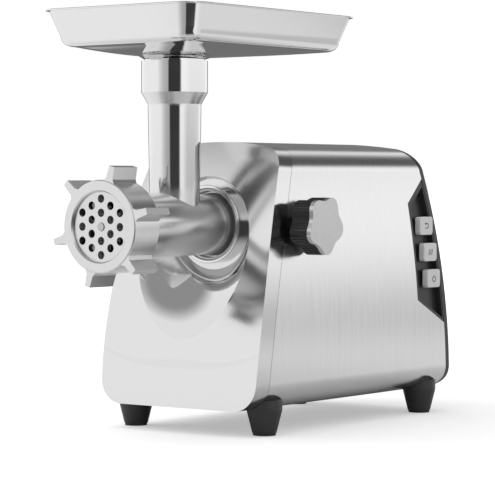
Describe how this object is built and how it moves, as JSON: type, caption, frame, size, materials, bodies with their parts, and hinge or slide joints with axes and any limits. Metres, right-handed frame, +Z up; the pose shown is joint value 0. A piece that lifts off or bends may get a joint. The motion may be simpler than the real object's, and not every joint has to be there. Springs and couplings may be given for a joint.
{
  "type": "electric meat grinder",
  "caption": "Electric meat grinder: raked steel housing with side clamp knob and push buttons, pull-off grinding head with ring nut, plate and feed screw, and a lift-off hopper tray.",
  "frame": {"origin": "centre of the four feet, on the surface the machine stands on", "axes": "+Z up, the outlet faces -Y, the clamp knob and push buttons are on +X"},
  "size_m": [0.1939, 0.418, 0.3645],
  "materials": {
    "bezel_steel": "satin polished",
    "shell_steel": "fine vertical brushing",
    "black_plastic": "fine texture",
    "rubber": "matt",
    "screw_steel": "plain",
    "chrome_trim": "mirror",
    "cast_aluminium": "as cast",
    "polished_steel": "polished",
    "satin_steel": "satin",
    "polished_casting": "polished cast",
    "satin_casting": "satin cast",
    "knob_black": "ribbed",
    "key_silver": "painted silver",
    "nylon": "moulded",
    "gear_steel": "sintered",
    "lamination": "laminated",
    "copper": "enamelled wire",
    "carbon": "pressed",
    "board_green": "solder mask",
    "component_black": "moulded"
  },
  "bodies": {
    "housing": {"front_bezel": "bezel_steel", "side_shell": "shell_steel", "rear_cover": "black_plastic", "base_pan": "black_plastic", "foot_front_left": "black_plastic", "foot_rear_left": "black_plastic", "foot_front_right": "black_plastic", "foot_rear_right": "black_plastic", "foot_pads": "rubber", "base_screws": "screw_steel", "rear_screws": "screw_steel", "socket_trim": "chrome_trim", "head_socket": "cast_aluminium", "control_panel": "black_plastic", "switch_board": "board_green", "tact_switches": "component_black", "clamp_nut": "cast_aluminium", "gearbox_case": "cast_aluminium", "gearbox_cover": "cast_aluminium", "gearbox_screws": "screw_steel", "gear_pins": "screw_steel", "output_bearings": "screw_steel", "motor_stator": "lamination", "field_coils": "copper", "brushes": "carbon", "brush_holders": "copper", "motor_bracket_front": "cast_aluminium", "motor_bracket_rear": "cast_aluminium", "motor_bearings": "screw_steel", "tie_bolts": "screw_steel", "motor_cradle": "lamination", "power_board": "board_green", "board_parts": "component_black", "cord_gland": "component_black"},
    "rotor": {"armature": "lamination", "motor_shaft": "screw_steel", "commutator": "copper", "fan": "nylon", "motor_pinion": "gear_steel"},
    "gear_one": {"first_gear": "nylon"},
    "gear_two": {"second_gear": "nylon"},
    "output": {"output_gear": "gear_steel", "output_shaft": "screw_steel"},
    "head": {"head_casting": "polished_casting", "barrel_bush": "nylon", "plate_key": "screw_steel"},
    "feed_screw": {"auger": "satin_casting", "auger_stud": "screw_steel", "auger_drive_end": "nylon", "cross_knife": "satin_steel"},
    "plate": {"grinding_plate": "satin_steel"},
    "ring": {"ring_nut": "satin_casting"},
    "tray": {"hopper_tray": "polished_steel"},
    "clamp": {"clamp_pad": "cast_aluminium"},
    "knob": {"clamp_screw": "screw_steel", "knob_body": "knob_black", "knob_cap": "satin_steel"},
    "reverse_key": {"button_reverse": "key_silver"},
    "speed_key": {"button_speed": "key_silver"},
    "power_key": {"button_power": "key_silver"}
  },
  "joints": [
    {"name": "rotor_spin", "type": "hinge", "parent": "housing", "child": "rotor", "pos_m": [0, 0.05, 0.08644], "axis": [0, 1, 0], "continuous": true},
    {"name": "first_gear_spin", "type": "hinge", "parent": "housing", "child": "gear_one", "pos_m": [-0.00344, -0.02, 0.11775], "axis": [0, 1, 0], "continuous": true},
    {"name": "second_gear_spin", "type": "hinge", "parent": "housing", "child": "gear_two", "pos_m": [-0.01969, -0.03, 0.1459], "axis": [0, 1, 0], "continuous": true},
    {"name": "output_spin", "type": "hinge", "parent": "housing", "child": "output", "pos_m": [0, -0.03, 0.18], "axis": [0, 1, 0], "continuous": true},
    {"name": "head_pull", "type": "slide", "parent": "housing", "child": "head", "axis": [0, -1, 0], "range_m": [0, 0.06]},
    {"name": "auger_spin", "type": "hinge", "parent": "head", "child": "feed_screw", "pos_m": [0, -0.158, 0.18], "axis": [0, 1, 0], "continuous": true},
    {"name": "plate_out", "type": "slide", "parent": "head", "child": "plate", "axis": [0, -1, 0], "range_m": [0, 0.016]},
    {"name": "ring_turn", "type": "hinge", "parent": "plate", "child": "ring", "pos_m": [0, -0.245, 0.18], "axis": [0, -1, 0], "range_deg": [0, 1455]},
    {"name": "tray_lift", "type": "slide", "parent": "head", "child": "tray", "axis": [0, 0, 1], "range_m": [0, 0.05]},
    {"name": "clamp_travel", "type": "slide", "parent": "housing", "child": "clamp", "axis": [1, 0, 0], "range_m": [0, 0.0045]},
    {"name": "knob_turn", "type": "hinge", "parent": "clamp", "child": "knob", "pos_m": [0.09, -0.083, 0.18], "axis": [1, 0, 0], "range_deg": [0, 1090]},
    {"name": "reverse_press", "type": "slide", "parent": "housing", "child": "reverse_key", "axis": [-1, 0, 0], "range_m": [0, 0.0022], "stiffness_N_per_m": 900},
    {"name": "speed_press", "type": "slide", "parent": "housing", "child": "speed_key", "axis": [-1, 0, 0], "range_m": [0, 0.0022], "stiffness_N_per_m": 900},
    {"name": "power_press", "type": "slide", "parent": "housing", "child": "power_key", "axis": [-1, 0, 0], "range_m": [0, 0.0022], "stiffness_N_per_m": 900}
  ],
  "couplings": [
    {"joint": "first_gear_spin", "follows": "rotor_spin", "ratio": -0.16667},
    {"joint": "second_gear_spin", "follows": "rotor_spin", "ratio": 0.039683},
    {"joint": "output_spin", "follows": "rotor_spin", "ratio": -0.011338},
    {"joint": "auger_spin", "follows": "rotor_spin", "ratio": -0.011338},
    {"joint": "ring_turn", "follows": "plate_out", "rad_per_m": 1570.8},
    {"joint": "knob_turn", "follows": "clamp_travel", "rad_per_m": 4188.8}
  ]
}
